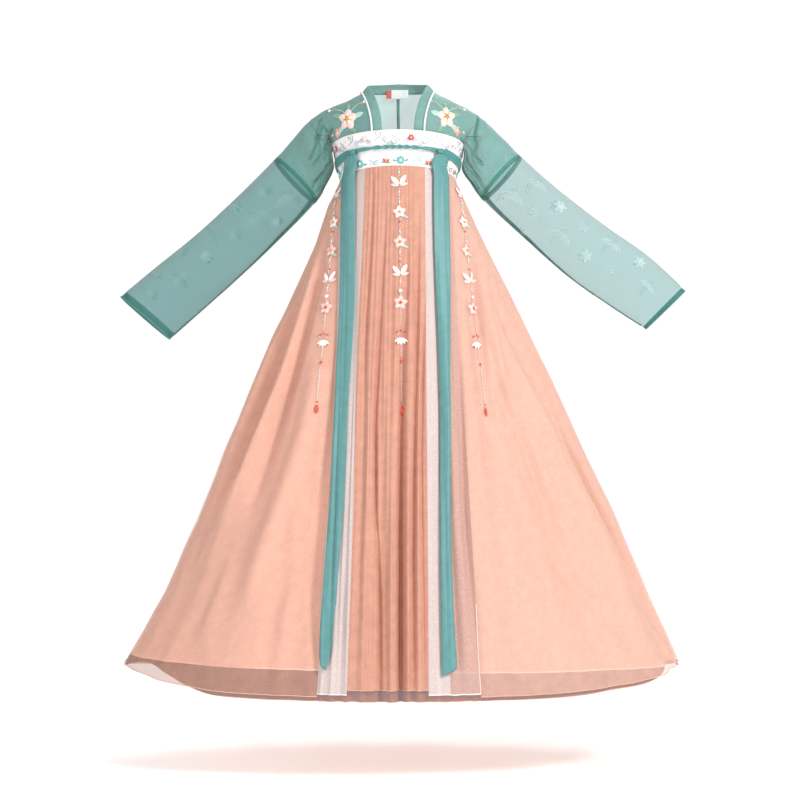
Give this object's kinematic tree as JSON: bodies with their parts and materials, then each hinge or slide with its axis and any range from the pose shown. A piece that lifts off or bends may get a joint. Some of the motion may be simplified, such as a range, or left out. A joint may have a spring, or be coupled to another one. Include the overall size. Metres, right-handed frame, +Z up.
{
  "type": "hanfu robe, a sheer shirt under a chest-high skirt, filled out as worn with no figure",
  "caption": "Chest-high pleated hanfu skirt with an embroidered band, ties and long streamers over a sheer long-sleeved open-front shirt, hollow and filled out as worn.",
  "frame": {"origin": "middle of the wearer's neck, level with the two points where the shoulder lines meet the collar", "axes": "+Z up, -Y towards the front, +X towards the wearer's left"},
  "size_m": [1.2868, 0.8058, 1.373],
  "materials": {
    "organza": "sheer crisp green organza with a faint woven figure",
    "cuff": "green organza, doubled",
    "neckband": "soft green satin-backed chiffon",
    "piping": "white satin piping",
    "label": "white woven tape, blank",
    "tab": "coral red woven tape, blank",
    "embroidered_band": "white satin, interlined, with embroidery",
    "tie": "green satin ribbon",
    "streamer": "green chiffon ribbon",
    "peach_tulle": "peach tulle with a fine shimmer",
    "pleated_chiffon": "deep peach pleated chiffon",
    "white_chiffon": "white crinkled chiffon",
    "lining": "peach lining satin"
  },
  "bodies": {
    "root": {"shirt_body_left_front": "organza", "shirt_body_left_back": "organza", "shirt_body_right_front": "organza", "shirt_body_right_back": "organza", "sleeve_left_front": "organza", "sleeve_left_back": "organza", "sleeve_right_front": "organza", "sleeve_right_back": "organza", "cuff_left": "cuff", "cuff_right": "cuff", "collar": "neckband", "collar_piping": "piping", "neck_label": "label", "label_tab": "tab", "band_front": "embroidered_band", "band_back": "embroidered_band", "chest_tie": "tie", "knot_left": "tie", "knot_right": "tie", "streamer_left": "streamer", "streamer_right": "streamer", "centre_panel": "pleated_chiffon", "white_panel_left": "white_chiffon", "white_panel_right": "white_chiffon", "side_panel_left": "peach_tulle", "side_panel_right": "peach_tulle", "skirt_front_under": "peach_tulle", "skirt_back_left": "peach_tulle", "skirt_back_centre": "peach_tulle", "skirt_back_right": "peach_tulle", "skirt_lining": "lining"}
  },
  "joints": []
}
